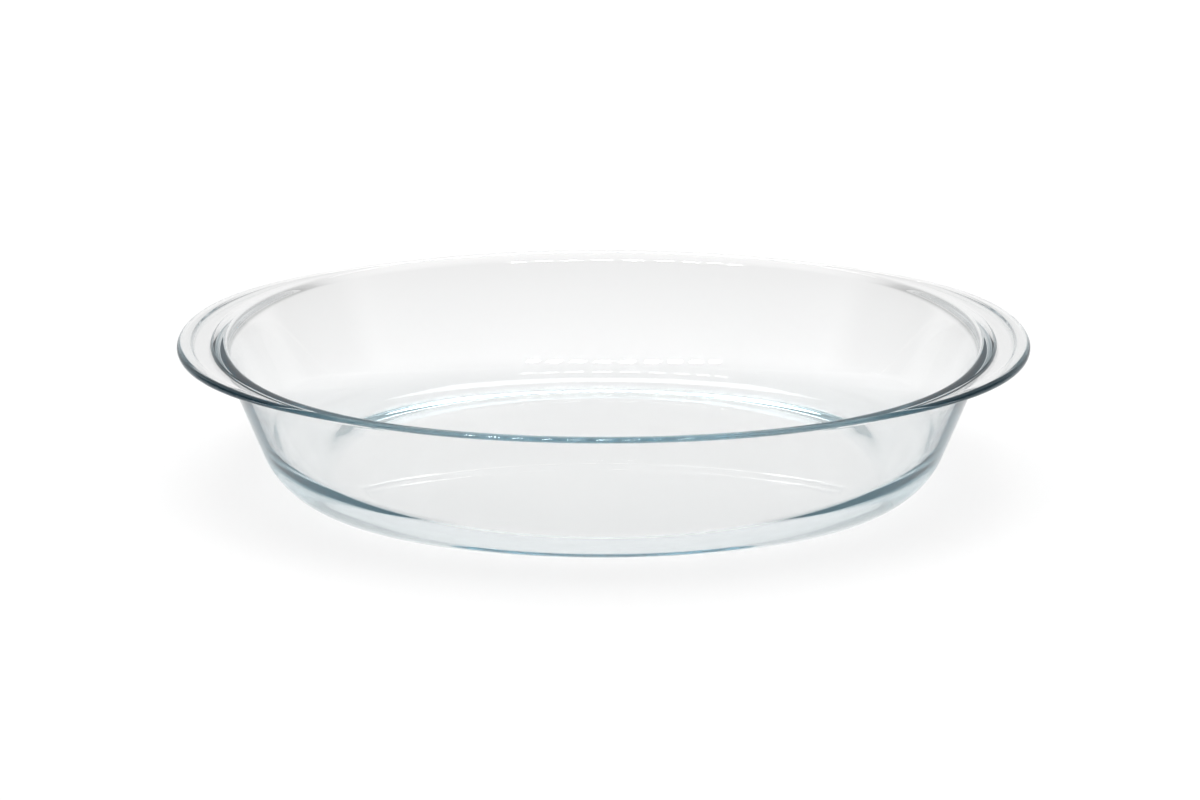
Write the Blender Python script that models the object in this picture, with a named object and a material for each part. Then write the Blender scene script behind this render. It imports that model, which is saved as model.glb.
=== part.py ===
"""An oval glass baking dish with an ear handle at each end, pressed in one piece.

Metres, +Z up. The origin is on the table under the middle of the dish, and +X runs to an ear.

The dish is one closed skin. Its section is a list of points that runs from the flat underside
round the outer heel, up the outside, round the lip, over the rim and down the inside to the
floor. Each point is swept round the oval as one ring of the mesh.
"""

import math

import bmesh
import bpy

# The oval of the rim, without the ears
RIM_LENGTH = 0.317
RIM_WIDTH = 0.240
RIM_HEIGHT = 0.0605
RIM_FULLNESS = 0.028  # how far the oval's shoulders stand outside an ellipse
FOOT_FULLNESS = 0.0165

# The lip along the long sides, and the round that leads from the rim's top into the bowl
LIP_THICKNESS = 0.0020
UNDERLIP_FLAT = 0.0004
UNDERLIP_DROP = 0.0015
MOUTH_RADIUS = 0.0022

# The ears, which swell out of the rim at both ends
EAR_REACH = 0.0165
EAR_RISE = 0.0015
EAR_THICKNESS = 0.0045
EAR_UNDERSIDE_FILLET = 0.0040
EAR_HALF_ANGLE = math.radians(65)
EAR_FULLNESS = 2.15
EAR_FADE = 2.9

# The shallow crescent panel sunk into the top of each ear
PANEL_BORDER = 0.0062
PANEL_WIDTH = 0.0083
PANEL_STEP = 0.0008
PANEL_DEPTH = 0.0008
PANEL_HALF_ANGLE = math.radians(40)

# The wall, as thick at the rim as given here. It gets thicker downwards, because the inside
# leans out further than the outside, which lets the mould's plunger out.
WALL_AT_ENDS = 0.0036
WALL_AT_SIDES = 0.0036
OUTER_DRAFT = math.radians(19)
INNER_DRAFT = math.radians(21)

# The floor, and the heel between it and the wall: its radii outside and inside
FLOOR_THICKNESS = 0.0046
OUTER_HEEL_AT_ENDS = 0.027
OUTER_HEEL_AT_SHOULDERS = 0.018
OUTER_HEEL_AT_SIDES = 0.015
INNER_HEEL_AT_ENDS = 0.035
INNER_HEEL_AT_SHOULDERS = 0.0325
INNER_HEEL_AT_SIDES = 0.018

# How finely the curves are cut into flats
AROUND = 96
HEEL_STEPS = 6
FILLET_STEPS = 3
LIP_STEPS = 6
MOUTH_STEPS = 4


def clear_scene():
    for thing in list(bpy.data.objects):
        bpy.data.objects.remove(thing, do_unlink=True)


def outward(angle):
    """The direction in plan that the rim's oval faces at this angle."""
    x = math.cos(angle) / RIM_LENGTH
    y = math.sin(angle) / RIM_WIDTH
    length = math.hypot(x, y)
    return x / length, y / length


def blend(angle, at_ends, at_sides):
    """A size that changes round the oval from the ears' ends to the long sides."""
    end_on, side_on = (part**2 for part in outward(angle))
    return at_ends * end_on + at_sides * side_on


def heel_radius(angle, at_ends, at_shoulders, at_sides):
    """A heel's radius, which also has a value of its own at the shoulders, halfway round."""
    end_on, side_on = (part**2 for part in outward(angle))
    added = at_shoulders - (at_ends + at_sides) / 2
    return blend(angle, at_ends, at_sides) + added * 4 * end_on * side_on


def angle_from_ear_tip(angle):
    return math.acos(min(1.0, abs(math.cos(angle))))


def ear_share(angle):
    """1 at the tip of an ear, falling to 0 where the ear has run out into the rim."""
    way = angle_from_ear_tip(angle) / EAR_HALF_ANGLE
    return max(0.0, 1 - way**EAR_FULLNESS) ** EAR_FADE


def panel_depth(angle):
    """How deep the ear's panel is sunk at this angle."""
    way = angle_from_ear_tip(angle) / PANEL_HALF_ANGLE
    share = max(0.0, 1 - way**2)
    return PANEL_DEPTH * share * share * (3 - 2 * share)


def outer_wall_inset(angle, height):
    """How far the outer wall stands inside the rim's oval at this height, the same all round."""
    below_lip = RIM_HEIGHT - LIP_THICKNESS - height
    return LIP_THICKNESS / 2 + UNDERLIP_FLAT + below_lip * math.tan(OUTER_DRAFT)


def inner_wall_inset(angle, height):
    """How far the inner wall stands inside the rim's oval at this angle and height."""
    thickness = blend(angle, WALL_AT_ENDS, WALL_AT_SIDES)
    at_rim = outer_wall_inset(angle, RIM_HEIGHT) + thickness / math.cos(OUTER_DRAFT)
    return at_rim + (RIM_HEIGHT - height) * math.tan(INNER_DRAFT)


def heel_arc(angle, wall_inset, draft, bottom, radius):
    """Points from the flat at the height bottom, round the heel, up to where the wall begins."""
    centre_inset = wall_inset(angle, bottom + radius) + radius / math.cos(draft)
    turn = math.pi / 2 - draft
    points = []
    for step in range(HEEL_STEPS + 1):
        along = turn * step / HEEL_STEPS
        inset = centre_inset - radius * math.sin(along)
        height = bottom + radius * (1 - math.cos(along))
        points.append((inset, height))
    return points


def underside(angle):
    """The outer heel, from the edge of the flat that the dish stands on."""
    radius = heel_radius(angle, OUTER_HEEL_AT_ENDS, OUTER_HEEL_AT_SHOULDERS, OUTER_HEEL_AT_SIDES)
    return heel_arc(angle, outer_wall_inset, OUTER_DRAFT, 0.0, radius)


def rim(angle):
    """The fillet under the lip or ear, the rounded edge, the top, and the round into the bowl."""
    share = ear_share(angle)
    edge_radius = (LIP_THICKNESS + (EAR_THICKNESS - LIP_THICKNESS) * share) / 2
    edge_inset = edge_radius - EAR_REACH * share
    top = RIM_HEIGHT + EAR_RISE * share
    below = top - 2 * edge_radius

    corner = outer_wall_inset(angle, below)
    flat = corner - edge_inset
    drop = UNDERLIP_DROP + (EAR_UNDERSIDE_FILLET - UNDERLIP_DROP) * share
    reach = min(0.8 * flat, drop)
    foot_inset = outer_wall_inset(angle, below - drop)
    points = []
    for step in range(FILLET_STEPS + 1):
        along = step / FILLET_STEPS
        at_wall = (1 - along) ** 2
        at_flat = along**2
        inset = at_wall * foot_inset + (1 - at_wall - at_flat) * corner + at_flat * (corner - reach)
        points.append((inset, below - at_wall * drop))

    for step in range(LIP_STEPS + 1):
        turn = math.pi * (step / LIP_STEPS - 0.5)
        inset = edge_inset - edge_radius * math.cos(turn)
        points.append((inset, top - edge_radius + edge_radius * math.sin(turn)))

    across_wall = MOUTH_RADIUS / math.cos(INNER_DRAFT)
    centre_height = top - MOUTH_RADIUS
    centre_inset = inner_wall_inset(angle, centre_height) - across_wall
    tip_centre = inner_wall_inset(0.0, RIM_HEIGHT + EAR_RISE - MOUTH_RADIUS) - across_wall
    widest_flat = tip_centre - EAR_THICKNESS / 2 + EAR_REACH
    panel_start = (PANEL_BORDER - EAR_THICKNESS / 2) / widest_flat
    depth = panel_depth(angle)
    for across, sunk in (
        (0.0, 0.0),
        (PANEL_STEP, depth),
        (PANEL_WIDTH - PANEL_STEP, depth),
        (PANEL_WIDTH, 0.0),
    ):
        place = panel_start + across / widest_flat
        points.append((edge_inset + (centre_inset - edge_inset) * place, top - sunk))

    for step in range(MOUTH_STEPS + 1):
        turn = INNER_DRAFT + (math.pi / 2 - INNER_DRAFT) * (1 - step / MOUTH_STEPS)
        inset = centre_inset + MOUTH_RADIUS * math.cos(turn)
        points.append((inset, centre_height + MOUTH_RADIUS * math.sin(turn)))
    return points


def inside(angle):
    """The inner heel, from the wall down to the floor."""
    radius = heel_radius(angle, INNER_HEEL_AT_ENDS, INNER_HEEL_AT_SHOULDERS, INNER_HEEL_AT_SIDES)
    return heel_arc(angle, inner_wall_inset, INNER_DRAFT, FLOOR_THICKNESS, radius)[::-1]


def place_in_space(angle, inset, height):
    """The point that lies inset from the rim's oval at this angle and height."""
    fullness = FOOT_FULLNESS + (RIM_FULLNESS - FOOT_FULLNESS) * min(1.0, height / RIM_HEIGHT)
    swell = 1 + fullness * math.sin(2 * angle) ** 2
    out_x, out_y = outward(angle)
    x = RIM_LENGTH / 2 * math.cos(angle) * swell - inset * out_x
    y = RIM_WIDTH / 2 * math.sin(angle) * swell - inset * out_y
    return x, y, height


def dish_mesh():
    """Starts with the flat underside and extrudes its edge from ring to ring."""
    angles = [2 * math.pi * index / AROUND for index in range(AROUND)]
    sections = [underside(angle) + rim(angle) + inside(angle) for angle in angles]
    body = bmesh.new()
    which_angle = body.verts.layers.int.new("which_angle")
    bmesh.ops.create_circle(body, cap_ends=True, segments=AROUND, radius=1.0)
    for vertex in body.verts:
        turned = math.atan2(vertex.co.y, vertex.co.x) % (2 * math.pi)
        vertex[which_angle] = round(turned / (2 * math.pi) * AROUND) % AROUND
    ring = list(body.verts)
    edges = list(body.edges)
    for level in range(len(sections[0])):
        if level > 0:
            made = bmesh.ops.extrude_edge_only(body, edges=edges)["geom"]
            ring = [item for item in made if isinstance(item, bmesh.types.BMVert)]
            edges = [item for item in made if isinstance(item, bmesh.types.BMEdge)]
        for vertex in ring:
            index = vertex[which_angle]
            inset, height = sections[index][level]
            vertex.co = place_in_space(angles[index], inset, height)
    bmesh.ops.contextual_create(body, geom=edges)
    bmesh.ops.recalc_face_normals(body, faces=body.faces)
    mesh = bpy.data.meshes.new("baking_dish")
    body.to_mesh(mesh)
    body.free()
    return mesh


def glass_material():
    material = bpy.data.materials.new("dish_glass")
    material.use_nodes = True
    shader = material.node_tree.nodes["Principled BSDF"]
    shader.inputs["Base Color"].default_value = (0.84, 0.94, 0.94, 1.0)
    shader.inputs["Roughness"].default_value = 0.02
    shader.inputs["Metallic"].default_value = 0.0
    shader.inputs["IOR"].default_value = 1.5
    shader.inputs["Transmission Weight"].default_value = 1.0
    return material


def main():
    clear_scene()
    mesh = dish_mesh()
    mesh.materials.append(glass_material())
    mesh.shade_smooth()
    mesh.set_sharp_from_angle(angle=math.radians(35))
    dish = bpy.data.objects.new("baking_dish", mesh)
    bpy.context.scene.collection.objects.link(dish)


main()
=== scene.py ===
"""The looks of an oval glass baking dish, laid over its CAD frame.

The dish is one piece of pressed glass. Its section is a list of points that runs from the flat
underside round the outer heel, up the outside, round the lip, over the rim and down the inside
to the floor. The sizes are the CAD's, with far more points to each curve, because glass shows
every flat. Three differ. Along the long sides the wall is a little thicker at the rim and the
round from the rim into the bowl is larger, which is what the dark band in the rim there needs.
The slope at the edge of the ears' sunk panels is wider.
"""

import math

import bmesh
import bpy
from bpy.props import FloatProperty, FloatVectorProperty, IntProperty, PointerProperty
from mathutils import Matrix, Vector


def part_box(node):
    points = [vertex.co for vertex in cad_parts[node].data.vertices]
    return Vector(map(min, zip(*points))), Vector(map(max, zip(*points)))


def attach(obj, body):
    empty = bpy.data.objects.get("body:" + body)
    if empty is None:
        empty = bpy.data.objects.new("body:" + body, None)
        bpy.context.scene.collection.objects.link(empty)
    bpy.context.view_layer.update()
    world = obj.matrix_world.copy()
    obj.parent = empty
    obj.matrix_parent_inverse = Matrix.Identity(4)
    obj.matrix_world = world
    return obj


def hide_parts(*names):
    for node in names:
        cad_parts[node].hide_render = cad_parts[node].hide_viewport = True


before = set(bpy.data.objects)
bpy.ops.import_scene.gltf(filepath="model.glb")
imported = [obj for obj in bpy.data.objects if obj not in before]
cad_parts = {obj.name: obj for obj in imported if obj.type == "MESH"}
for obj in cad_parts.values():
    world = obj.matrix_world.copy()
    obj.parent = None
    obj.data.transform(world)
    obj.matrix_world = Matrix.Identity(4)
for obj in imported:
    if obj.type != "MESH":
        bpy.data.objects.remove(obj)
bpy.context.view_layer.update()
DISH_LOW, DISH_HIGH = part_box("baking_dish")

bl_info = {
    "name": "Oval Glass Baking Dish",
    "version": (1, 0, 0),
    "blender": (4, 5, 0),
    "location": "3D View > Sidebar > Dish",
    "description": "Models an oval pressed-glass baking dish on its CAD frame, with its stage",
    "category": "Object",
}

EAR_REACH = 0.0165
EAR_RISE = 0.0015

# The most of the flat under the lip or ear that the fillet there takes
FILLET_SHARE = 0.8

# How finely the section is cut, in order from the underside to the bowl
HEEL_STEPS = 28
WALL_STEPS = 8
FILLET_STEPS = 8
UNDERLIP_STEPS = 4
EDGE_STEPS = 18
PANEL_SLOPE_STEPS = 6
PANEL_STEPS = 4
MOUTH_STEPS = 14

# Where the rings inside a flat lie, as shares of its size: close together near the heel
FLAT_RINGS = (0.15, 0.5, 0.82, 0.94, 0.98, 0.995)

# The glass's unevenness: how often each kind repeats, and where smears make the skin less clear
WAVE_SCALE = 22.0
GRAIN_SCALE = 320.0
SMEAR_SCALE = 14.0
SMEAR_SPREAD = (0.62, 0.8)
SMEAR_ROUGHNESS = 0.03

# The floor, with the distances over which it turns darker in the glass and white for the camera
FLOOR_POINTS = 96
FLOOR_RADIUS = 8.0
FLOOR_HEIGHT = -0.0002
FLOOR_DARKENS = (0.12, 0.6)
FLOOR_WHITENS = (0.2, 0.9)

# Over which directions the room changes upwards, towards the camera and to the sides
TOP_SPREAD = (0.1, 0.5)
FRONT_SPREAD = (0.2, 0.8)
SIDES_SPREAD = (0.7, 0.9)

# The lamps: their places, and their widths and depths
TOP_LAMP_PLACE = (0.0, 0.1, 1.6)
TOP_LAMP_SIZE = (1.2, 1.0)
ROW_LAMP_PLACE = (-0.13, -1.3, 1.1)
ROW_LAMP_SIZE = (1.22, 0.22)
ROW_PANES = 9
PANE_EDGE = (0.25, 0.35)

# The camera: its sensor's width in millimetres, and the nearest distance that it sees
SENSOR_WIDTH = 36.0
NEAREST_SEEN = 0.01

# Light that runs round inside the rim is mirrored many times before it gets out.
LIGHT_BOUNCES = 64


def length(name, text, default):
    return FloatProperty(
        name=name, description=text, default=default, subtype="DISTANCE", unit="LENGTH", precision=5
    )


def turn(name, text, degrees):
    return FloatProperty(
        name=name, description=text, default=math.radians(degrees), subtype="ANGLE", unit="ROTATION"
    )


def number(name, text, default, lowest=0.0):
    return FloatProperty(name=name, description=text, default=default, min=lowest, precision=4)


def colour(name, text, default):
    return FloatVectorProperty(
        name=name, description=text, default=default, size=3, min=0.0, max=1.0, subtype="COLOR"
    )


class DishSizes(bpy.types.PropertyGroup):
    """The sizes of the glass."""

    rim_length: length(
        "Rim length",
        "Length of the rim's oval, without the ears",
        DISH_HIGH[0] - DISH_LOW[0] - 2 * EAR_REACH,
    )
    rim_width: length("Rim width", "Width of the rim's oval", DISH_HIGH[1] - DISH_LOW[1])
    rim_height: length("Rim height", "Height of the lip", DISH_HIGH[2] - EAR_RISE)
    rim_fullness: number("Rim fullness", "How far the rim's shoulders stand outside an ellipse", 0.028)
    foot_fullness: number("Foot fullness", "The same at the foot", 0.0165)
    lip_thickness: length("Lip thickness", "Height of the rounded lip", 0.0020)
    underlip_flat: length("Flat under the lip", "Width of the flat under the lip", 0.0004)
    underlip_drop: length("Fillet under the lip", "Height of the fillet under the lip", 0.0015)
    mouth_at_ends: length("Mouth at the ends", "Round from the rim's top into the bowl, at the ears", 0.0022)
    mouth_at_sides: length("Mouth at the sides", "The same at the long sides", 0.0056)
    ear_reach: length("Ear reach", "How far an ear stands out from the rim's oval", EAR_REACH)
    ear_rise: length("Ear rise", "How far an ear's top stands above the lip", EAR_RISE)
    ear_thickness: length("Ear thickness", "Thickness of an ear at its tip", 0.0045)
    ear_fillet: length("Ear fillet", "Height of the fillet under an ear", 0.0040)
    ear_half_angle: turn("Ear half angle", "Angle round the oval over which an ear runs out", 65)
    ear_fullness: number("Ear fullness", "How square the ear's outline is", 2.15)
    ear_fade: number("Ear fade", "How gently the ear runs out into the rim", 2.9)
    panel_border: length("Panel border", "Distance from an ear's edge to its sunk panel", 0.0062)
    panel_width: length("Panel width", "Width of the sunk panel at the tip", 0.0083)
    panel_step: length("Panel step", "Width of the slope at the panel's edge", 0.0013)
    panel_depth: length("Panel depth", "How deep the panel is sunk", 0.0008)
    panel_half_angle: turn("Panel half angle", "Angle over which the panel runs out", 40)
    wall_at_ends: length("Wall at the ends", "Thickness of the wall at the rim, at the ears", 0.0036)
    wall_at_sides: length("Wall at the sides", "The same at the long sides", 0.0042)
    outer_draft: turn("Outer draft", "How far the outside of the wall leans out", 19)
    inner_draft: turn("Inner draft", "How far the inside of the wall leans out", 21)
    floor_thickness: length("Floor thickness", "Height of the bowl's floor above the table", 0.0046)
    outer_heel_at_ends: length("Outer heel at the ends", "Outer heel radius at the ears", 0.027)
    outer_heel_at_shoulders: length("Outer heel at the shoulders", "The same halfway round", 0.018)
    outer_heel_at_sides: length("Outer heel at the sides", "The same at the long sides", 0.015)
    inner_heel_at_ends: length("Inner heel at the ends", "Inner heel radius at the ears", 0.035)
    inner_heel_at_shoulders: length("Inner heel at the shoulders", "The same halfway round", 0.0325)
    inner_heel_at_sides: length("Inner heel at the sides", "The same at the long sides", 0.018)
    columns: IntProperty(
        name="Columns", description="Points round the oval", default=288, min=96, max=320, subtype="UNSIGNED"
    )


class GlassFinish(bpy.types.PropertyGroup):
    """The colour and the surface of the glass, with its painted glow."""

    surface: colour("Surface colour", "Colour where light crosses the surface once", (0.985, 0.97, 0.9635))
    depth_colour: colour("Depth colour", "Colour that a long way through the glass takes", (0.0, 0.29, 0.375))
    depth_density: number("Depth density", "How fast the glass absorbs light, per metre", 10.0)
    # Painted glow: a faint teal light that the glass gives off on every surface, standing in for light caught
    # in the rim.
    scatter: colour("Scatter colour", "Colour of the light that stays caught in the rim", (0.1, 0.27, 0.36))
    painted_glow_strength: number("Scatter strength", "How much of it each surface gives off", 0.01)
    index: number("Refractive index", "Refractive index of soda-lime glass", 1.51, 1.0)
    wave_height: length("Wave height", "Height of the slow unevenness left by the mould", 0.000003)
    grain_height: length("Grain height", "Height of the fine unevenness of the skin", 0.0000004)


class StageLight(bpy.types.PropertyGroup):
    """The camera's place and the strength of the lights."""

    camera_distance: length("Camera distance", "From the middle of the dish to the camera", 1.0)
    camera_height_angle: turn("Camera elevation", "Angle of the camera above the table", 20.3625)
    camera_lens: FloatProperty(
        name="Lens", description="Focal length", default=71.8965, subtype="DISTANCE_CAMERA", unit="CAMERA"
    )
    aim_side: length("Aim to the side", "The point aimed at, along the dish", -0.00145)
    aim_height: length("Aim height", "The point aimed at, above the table", 0.03122)
    floor_glow: number("Floor glow", "White that the floor shows whatever the light", 0.75)
    floor_glow_in_glass: number("Floor glow in the glass", "The same, where the glass shows it", 0.77)
    floor_grey: number("Floor grey", "Share of the light that the floor sends back", 0.24)
    room_fill: number("Room fill", "Light from all round that falls on the floor", 0.44)
    room_in_glass: number("Room in the glass", "How bright the studio is that the glass mirrors", 0.8)
    room_top: number("Room overhead", "Share of that brightness high up", 0.85)
    room_front: number("Room behind the camera", "The same share behind the camera", 0.6)
    room_sides: number("Room at the sides", "The same share at the dark flags at the sides", 0.1)
    floor_edge: number("Far floor", "Share of the floor's glow in the glass that is left far away", 0.5)
    top_lamp: FloatProperty(
        name="Top lamp", description="Power of the lamp overhead", default=22.0, subtype="POWER", unit="POWER"
    )
    row_lamp: FloatProperty(
        name="Row lamp", description="Power of the row of panes", default=36.0, subtype="POWER", unit="POWER"
    )


class Wire:
    """A shader socket that can stand in a Python expression, which adds its Math nodes."""

    def __init__(self, board, socket):
        self.board = board
        self.socket = socket

    def other(self, name):
        """Another output of the same node."""
        return Wire(self.board, self.socket.node.outputs[name])

    def math(self, operation, *terms):
        return self.board.add("ShaderNodeMath", dict(enumerate(terms)), operation=operation)

    def __add__(self, term):
        return self.math("ADD", self, term)

    def __radd__(self, term):
        return self.math("ADD", term, self)

    def __sub__(self, term):
        return self.math("SUBTRACT", self, term)

    def __rsub__(self, term):
        return self.math("SUBTRACT", term, self)

    def __mul__(self, term):
        return self.math("MULTIPLY", self, term)

    def most(self, term):
        return self.math("MAXIMUM", self, term)

    def rise(self, low, high):
        """0 below low, 1 above high, with a smooth way between."""
        feeds = {"Value": self, "From Min": low, "From Max": high}
        return self.board.add("ShaderNodeMapRange", feeds, interpolation_type="SMOOTHSTEP")


class Board:
    """A material's, lamp's or world's node tree, emptied, with one method that adds any node."""

    def __init__(self, holder):
        holder.use_nodes = True
        self.tree = holder.node_tree
        self.tree.nodes.clear()

    def add(self, kind, feeds=None, out=0, **settings):
        """Adds a node, sets its settings first, then feeds its sockets with values or wires."""
        node = self.tree.nodes.new(kind)
        for name, value in settings.items():
            setattr(node, name, value)
        for name, value in (feeds or {}).items():
            if isinstance(value, Wire):
                self.tree.links.new(value.socket, node.inputs[name])
            else:
                node.inputs[name].default_value = value
        return Wire(self, node.outputs[out] if len(node.outputs) else None)


def outward(angle, sizes):
    """The direction in plan that the rim's oval faces at this angle."""
    x = math.cos(angle) / sizes.rim_length
    y = math.sin(angle) / sizes.rim_width
    reach = math.hypot(x, y)
    return x / reach, y / reach


def blend_by_side(angle, at_ends, at_sides, sizes):
    """A size that changes from the ears' ends to the long sides."""
    out_x, out_y = outward(angle, sizes)
    return at_ends * out_x**2 + at_sides * out_y**2


def heel_radius(angle, at_ends, at_shoulders, at_sides, sizes):
    """A heel's radius, which also has a value of its own at the shoulders, halfway round."""
    out_x, out_y = outward(angle, sizes)
    added = at_shoulders - (at_ends + at_sides) / 2
    return blend_by_side(angle, at_ends, at_sides, sizes) + added * 4 * (out_x * out_y) ** 2


def angle_from_ear_tip(angle):
    return math.acos(min(1.0, abs(math.cos(angle))))


def ear_share(angle, sizes):
    """1 at the tip of an ear, falling to 0 where the ear has run out into the rim."""
    way = angle_from_ear_tip(angle) / sizes.ear_half_angle
    return max(0.0, 1 - way**sizes.ear_fullness) ** sizes.ear_fade


def ease(share):
    """0 to 1 with a gentle start and end."""
    return share * share * (3 - 2 * share)


def sunk_depth(angle, sizes):
    """How deep the ear's panel is sunk at this angle."""
    way = angle_from_ear_tip(angle) / sizes.panel_half_angle
    share = max(0.0, 1 - way**2)
    return sizes.panel_depth * share * ease(share)


def outer_wall_inset(angle, height, sizes):
    """How far the outer wall stands inside the rim's oval at this height, the same all round."""
    below_lip = sizes.rim_height - sizes.lip_thickness - height
    return sizes.lip_thickness / 2 + sizes.underlip_flat + below_lip * math.tan(sizes.outer_draft)


def inner_wall_inset(angle, height, sizes):
    """How far the inner wall stands inside the rim's oval at this angle and height."""
    thickness = blend_by_side(angle, sizes.wall_at_ends, sizes.wall_at_sides, sizes)
    at_rim = outer_wall_inset(angle, sizes.rim_height, sizes) + thickness / math.cos(sizes.outer_draft)
    return at_rim + (sizes.rim_height - height) * math.tan(sizes.inner_draft)


def heel_arc(angle, wall_inset, draft, bottom, radius, sizes):
    """Points from the flat at the height bottom, round the heel, up to where the wall begins."""
    centre = wall_inset(angle, bottom + radius, sizes) + radius / math.cos(draft)
    whole = math.pi / 2 - draft
    points = []
    for step in range(HEEL_STEPS + 1):
        along = whole * step / HEEL_STEPS
        points.append((centre - radius * math.sin(along), bottom + radius * (1 - math.cos(along)), 1.0))
    return points


def straight(start, end, steps):
    """The points between two points, without either."""
    points = []
    for step in range(1, steps):
        share = step / steps
        points.append(tuple(a + (b - a) * share for a, b in zip(start, end)))
    return points


def underside(angle, sizes):
    """Rings that keep the underside flat, and the outer heel."""
    radius = heel_radius(
        angle, sizes.outer_heel_at_ends, sizes.outer_heel_at_shoulders, sizes.outer_heel_at_sides, sizes
    )
    heel = heel_arc(angle, outer_wall_inset, sizes.outer_draft, 0.0, radius, sizes)
    inset, height, _ = heel[0]
    return [(inset, height, shrink) for shrink in FLAT_RINGS] + heel


def edge_of_rim(angle, sizes):
    """Where the rounded edge of the lip or ear stands: its inset, radius and top."""
    share = ear_share(angle, sizes)
    radius = (sizes.lip_thickness + (sizes.ear_thickness - sizes.lip_thickness) * share) / 2
    return radius - sizes.ear_reach * share, radius, sizes.rim_height + sizes.ear_rise * share


def under_rim(angle, sizes):
    """The fillet and the flat under the lip or ear."""
    edge_inset, edge_radius, top = edge_of_rim(angle, sizes)
    below = top - 2 * edge_radius
    corner = outer_wall_inset(angle, below, sizes)
    share = ear_share(angle, sizes)
    drop = sizes.underlip_drop + (sizes.ear_fillet - sizes.underlip_drop) * share
    reach = min(FILLET_SHARE * (corner - edge_inset), drop)
    wall_end = outer_wall_inset(angle, below - drop, sizes)
    points = []
    for step in range(FILLET_STEPS + 1):
        along = step / FILLET_STEPS
        at_wall = (1 - along) ** 2
        at_flat = along**2
        inset = at_wall * wall_end + (1 - at_wall - at_flat) * corner + at_flat * (corner - reach)
        points.append((inset, below - at_wall * drop, 1.0))
    return points + straight(points[-1], (edge_inset, below, 1.0), UNDERLIP_STEPS)


def over_rim(angle, sizes):
    """The rounded edge, the top with its sunk panel, and the round into the bowl."""
    edge_inset, edge_radius, top = edge_of_rim(angle, sizes)
    points = []
    for step in range(EDGE_STEPS + 1):
        at = math.pi * (step / EDGE_STEPS - 0.5)
        inset = edge_inset - edge_radius * math.cos(at)
        points.append((inset, top - edge_radius + edge_radius * math.sin(at), 1.0))

    slope = sizes.inner_draft
    mouth = blend_by_side(angle, sizes.mouth_at_ends, sizes.mouth_at_sides, sizes)
    centre_height = top - mouth
    centre = inner_wall_inset(angle, centre_height, sizes) - mouth / math.cos(slope)
    tip_height = sizes.rim_height + sizes.ear_rise - sizes.mouth_at_ends
    tip_centre = inner_wall_inset(0.0, tip_height, sizes) - sizes.mouth_at_ends / math.cos(slope)
    widest = tip_centre - sizes.ear_thickness / 2 + sizes.ear_reach
    start = (sizes.panel_border - sizes.ear_thickness / 2) / widest
    depth = sunk_depth(angle, sizes)
    ways = [step / PANEL_SLOPE_STEPS for step in range(PANEL_SLOPE_STEPS + 1)]
    first = [(sizes.panel_step * (way - 0.5), ease(way)) for way in ways]
    middle = [(sizes.panel_width * step / PANEL_STEPS, 1.0) for step in range(1, PANEL_STEPS)]
    last = [(sizes.panel_width + across, 1 - sunk) for across, sunk in first]
    for across, sunk in first + middle + last:
        place = start + across / widest
        points.append((edge_inset + (centre - edge_inset) * place, top - depth * sunk, 1.0))

    for step in range(MOUTH_STEPS + 1):
        at = slope + (math.pi / 2 - slope) * (1 - step / MOUTH_STEPS)
        inset = centre + mouth * math.cos(at)
        points.append((inset, centre_height + mouth * math.sin(at), 1.0))
    return points


def inside(angle, sizes):
    """The inner heel, from the wall down to the floor, and rings that keep the floor flat."""
    radius = heel_radius(
        angle, sizes.inner_heel_at_ends, sizes.inner_heel_at_shoulders, sizes.inner_heel_at_sides, sizes
    )
    heel = heel_arc(angle, inner_wall_inset, sizes.inner_draft, sizes.floor_thickness, radius, sizes)
    inset, height, _ = heel[0]
    return heel[::-1] + [(inset, height, shrink) for shrink in FLAT_RINGS[::-1]]


def section(angle, sizes):
    """Every point of the dish's section at this angle, as inset, height and shrink."""
    lower = underside(angle, sizes)
    under = under_rim(angle, sizes)
    over = over_rim(angle, sizes)
    inner = inside(angle, sizes)
    outer_wall = straight(lower[-1], under[0], WALL_STEPS)
    inner_wall = straight(over[-1], inner[0], WALL_STEPS)
    return lower + outer_wall + under + over + inner_wall + inner


def place_in_space(angle, point, sizes):
    """Where a point of the section lies. A shrink under 1 draws it to the dish's middle."""
    inset, height, shrink = point
    added = (sizes.rim_fullness - sizes.foot_fullness) * min(1.0, height / sizes.rim_height)
    swell = 1 + (sizes.foot_fullness + added) * math.sin(2 * angle) ** 2
    out_x, out_y = outward(angle, sizes)
    x = sizes.rim_length / 2 * math.cos(angle) * swell - inset * out_x
    y = sizes.rim_width / 2 * math.sin(angle) * swell - inset * out_y
    return Vector((x * shrink, y * shrink, height))


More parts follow.
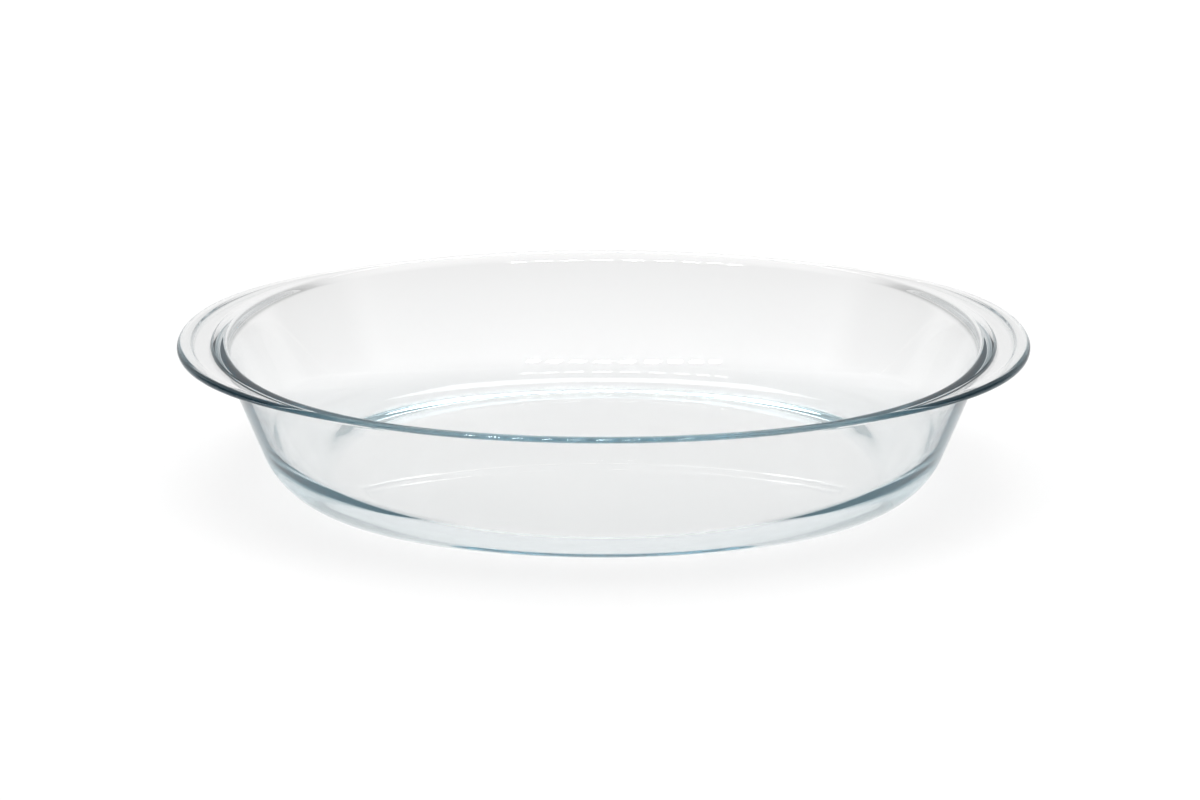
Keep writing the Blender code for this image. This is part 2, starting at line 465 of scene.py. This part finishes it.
def glass(finish):
    """Clear pressed glass: teal where light runs along it, with the mould's slow waves and a faint painted
    teal glow on its surfaces.
    """
    material = bpy.data.materials.new("pressed_glass")
    board = Board(material)
    place = board.add("ShaderNodeTexCoord", out="Object")
    waves = board.add("ShaderNodeTexNoise", {"Vector": place, "Scale": WAVE_SCALE, "Detail": 1.0})
    grain = board.add("ShaderNodeTexNoise", {"Vector": place, "Scale": GRAIN_SCALE, "Detail": 2.0})
    height = waves * finish.wave_height + grain * finish.grain_height
    bump = board.add("ShaderNodeBump", {"Height": height, "Distance": 1.0, "Strength": 1.0})
    smears = board.add("ShaderNodeTexNoise", {"Vector": place, "Scale": SMEAR_SCALE, "Detail": 3.0})
    rough = smears.rise(*SMEAR_SPREAD) * SMEAR_ROUGHNESS
    shader = board.add(
        "ShaderNodeBsdfPrincipled",
        {
            "Base Color": (*finish.surface, 1.0),
            "Roughness": rough,
            "IOR": finish.index,
            "Transmission Weight": 1.0,
            # Painted glow: a faint teal emission on every surface, standing in for light that runs round
            # inside the rim.
            "Emission Color": (*finish.scatter, 1.0),
            "Emission Strength": finish.painted_glow_strength,
            "Normal": bump,
        },
    )
    depth = board.add(
        "ShaderNodeVolumeAbsorption",
        {"Color": (*finish.depth_colour, 1.0), "Density": finish.depth_density},
    )
    board.add("ShaderNodeOutputMaterial", {"Surface": shader, "Volume": depth})
    return material


class DISH_OT_body(bpy.types.Operator):
    """Models the dish in one piece of glass"""

    bl_idname = "dish.body"
    bl_label = "Glass Dish"

    def execute(self, context):
        sizes = context.scene.dish_sizes
        angles = [2 * math.pi * index / sizes.columns for index in range(sizes.columns)]
        sections = [section(angle, sizes) for angle in angles]
        bpy.ops.object.select_all(action="DESELECT")
        bpy.ops.mesh.primitive_circle_add(
            vertices=sizes.columns, radius=sizes.rim_width / 2, fill_type="NGON", location=(0, 0, 0)
        )
        dish = context.object
        dish.name = dish.data.name = "glass_dish"
        bpy.ops.object.mode_set(mode="EDIT")
        bpy.ops.mesh.select_mode(type="EDGE")
        body = bmesh.from_edit_mesh(dish.data)
        which = body.verts.layers.int.new("which_angle")
        for vertex in body.verts:
            around = math.atan2(vertex.co.y, vertex.co.x) / (2 * math.pi)
            vertex[which] = round(around * sizes.columns) % sizes.columns
        bmesh.update_edit_mesh(dish.data)
        # The section differs at every angle, so each extruded ring's points are placed in code.
        for level in range(len(sections[0])):
            if level > 0:
                bpy.ops.mesh.extrude_edges_indiv()
            body = bmesh.from_edit_mesh(dish.data)
            which = body.verts.layers.int["which_angle"]
            for vertex in body.verts:
                if vertex.select:
                    index = vertex[which]
                    vertex.co = place_in_space(angles[index], sections[index][level], sizes)
            bmesh.update_edit_mesh(dish.data)
        bpy.ops.mesh.edge_face_add()
        bpy.ops.mesh.select_all(action="SELECT")
        bpy.ops.mesh.normals_make_consistent(inside=False)
        bpy.ops.object.mode_set(mode="OBJECT")
        bpy.ops.object.shade_smooth()
        dish.data.attributes.remove(dish.data.attributes["which_angle"])
        dish.data.materials.clear()
        dish.data.materials.append(glass(context.scene.dish_glass))
        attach(dish, "root")
        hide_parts("baking_dish")
        return {"FINISHED"}


def floor_material(light):
    """A white floor that keeps the dish's shadow. The glass sees it get darker far away."""
    material = bpy.data.materials.new("white_floor")
    board = Board(material)
    camera = board.add("ShaderNodeLightPath", out="Is Camera Ray")
    in_glass = camera.other("Is Glossy Ray").most(camera.other("Is Transmission Ray"))
    place = board.add("ShaderNodeTexCoord", out="Object")
    distance = board.add("ShaderNodeVectorMath", {0: place}, out="Value", operation="LENGTH")
    white = light.floor_glow + distance.rise(*FLOOR_WHITENS) * (1.0 - light.floor_glow)
    shaded = 1.0 - distance.rise(*FLOOR_DARKENS) * (1.0 - light.floor_edge)
    strength = camera * white + in_glass * shaded * light.floor_glow_in_glass
    glow = board.add("ShaderNodeEmission", {"Strength": strength})
    matt = board.add("ShaderNodeBsdfDiffuse", {"Color": (light.floor_grey,) * 3 + (1.0,)})
    both = board.add("ShaderNodeAddShader", {0: glow, 1: matt})
    board.add("ShaderNodeOutputMaterial", {"Surface": both})
    return material


def room(light):
    """White where the camera looks at it, a shaded studio in the glass, an even fill on the floor."""
    world = bpy.data.worlds.new("studio")
    board = Board(world)
    camera = board.add("ShaderNodeLightPath", out="Is Camera Ray")
    in_glass = camera.other("Is Glossy Ray").most(camera.other("Is Transmission Ray"))
    way = board.add("ShaderNodeTexCoord", out="Generated")
    up = board.add("ShaderNodeSeparateXYZ", {"Vector": way}, out="Z")
    along = up.other("X")
    across = up.other("Y")
    overhead = 1.0 - up.rise(*TOP_SPREAD) * (1.0 - light.room_top)
    front = 1.0 - (0.0 - across).rise(*FRONT_SPREAD) * (1.0 - light.room_front)
    sides = 1.0 - (along * along).rise(*SIDES_SPREAD) * (1.0 - light.room_sides)
    studio = overhead * front * sides
    mirrored = in_glass * studio * light.room_in_glass
    strength = camera + mirrored + (1.0 - camera.most(in_glass)) * light.room_fill
    shine = board.add("ShaderNodeBackground", {"Color": (1.0, 1.0, 1.0, 1.0), "Strength": strength})
    board.add("ShaderNodeOutputWorld", {"Surface": shine})
    return world


def soft_lamp(name, place, size, power, panes=1):
    """A rectangular lamp turned to the dish. Panes split it into a row of bright squares."""
    bpy.ops.object.light_add(type="AREA", location=place)
    lamp = bpy.context.object
    lamp.name = name
    lamp.data.shape = "RECTANGLE"
    lamp.data.size, lamp.data.size_y = size
    lamp.data.energy = power
    lamp.rotation_euler = (-Vector(place)).to_track_quat("-Z", "Y").to_euler()
    lamp.visible_camera = False
    if panes > 1:
        board = Board(lamp.data)
        place_on_lamp = board.add("ShaderNodeNewGeometry", out="Parametric")
        across = board.add("ShaderNodeSeparateXYZ", {"Vector": place_on_lamp}, out="X")
        pane = board.add("ShaderNodeMath", {0: across * panes}, operation="FRACT")
        middle = board.add("ShaderNodeMath", {0: pane - 0.5}, operation="ABSOLUTE")
        shine = board.add("ShaderNodeEmission", {"Strength": 1.0 - middle.rise(*PANE_EDGE)})
        board.add("ShaderNodeOutputLight", {"Surface": shine})
    return lamp


class DISH_OT_stage(bpy.types.Operator):
    """Sets the floor, the studio's light and the camera"""

    bl_idname = "dish.stage"
    bl_label = "Stage"

    def execute(self, context):
        light = context.scene.dish_light
        bpy.ops.object.select_all(action="DESELECT")
        bpy.ops.mesh.primitive_circle_add(
            vertices=FLOOR_POINTS, radius=FLOOR_RADIUS, fill_type="NGON", location=(0, 0, FLOOR_HEIGHT)
        )
        floor = context.object
        floor.name = floor.data.name = "floor"
        floor.data.materials.append(floor_material(light))
        context.scene.world = room(light)
        top = soft_lamp("top_lamp", TOP_LAMP_PLACE, TOP_LAMP_SIZE, light.top_lamp)
        top.visible_glossy = False
        row = soft_lamp("row_lamp", ROW_LAMP_PLACE, ROW_LAMP_SIZE, light.row_lamp, ROW_PANES)
        row.visible_diffuse = False

        tilt = light.camera_height_angle
        place = (
            light.aim_side,
            -light.camera_distance * math.cos(tilt),
            light.aim_height + light.camera_distance * math.sin(tilt),
        )
        bpy.ops.object.camera_add(location=place, rotation=(math.pi / 2 - tilt, 0, 0))
        camera = context.object
        camera.name = "photo_camera"
        camera.data.sensor_width = SENSOR_WIDTH
        camera.data.lens = light.camera_lens
        camera.data.clip_start = NEAREST_SEEN
        context.scene.camera = camera
        context.scene.view_settings.view_transform = "Standard"
        paths = context.scene.cycles
        paths.max_bounces = paths.transmission_bounces = paths.glossy_bounces = LIGHT_BOUNCES
        return {"FINISHED"}


class DISH_PT_panel(bpy.types.Panel):
    """Lists the dish's sizes and its steps"""

    bl_idname = "DISH_PT_panel"
    bl_label = "Glass Baking Dish"
    bl_space_type = "VIEW_3D"
    bl_region_type = "UI"
    bl_category = "Dish"

    def draw(self, context):
        scene = context.scene
        for group in (scene.dish_sizes, scene.dish_glass, scene.dish_light):
            box = self.layout.box()
            for name in group.bl_rna.properties.keys():
                if name not in ("rna_type", "name"):
                    box.prop(group, name)
        self.layout.operator("dish.body")
        self.layout.operator("dish.stage")


CLASSES = (DishSizes, GlassFinish, StageLight, DISH_OT_body, DISH_OT_stage, DISH_PT_panel)


def register():
    for item in CLASSES:
        bpy.utils.register_class(item)
    bpy.types.Scene.dish_sizes = PointerProperty(type=DishSizes)
    bpy.types.Scene.dish_glass = PointerProperty(type=GlassFinish)
    bpy.types.Scene.dish_light = PointerProperty(type=StageLight)


def unregister():
    del bpy.types.Scene.dish_light
    del bpy.types.Scene.dish_glass
    del bpy.types.Scene.dish_sizes
    for item in reversed(CLASSES):
        bpy.utils.unregister_class(item)


def main():
    register()
    bpy.ops.dish.body()
    bpy.ops.dish.stage()


if __name__ == "__main__":
    main()
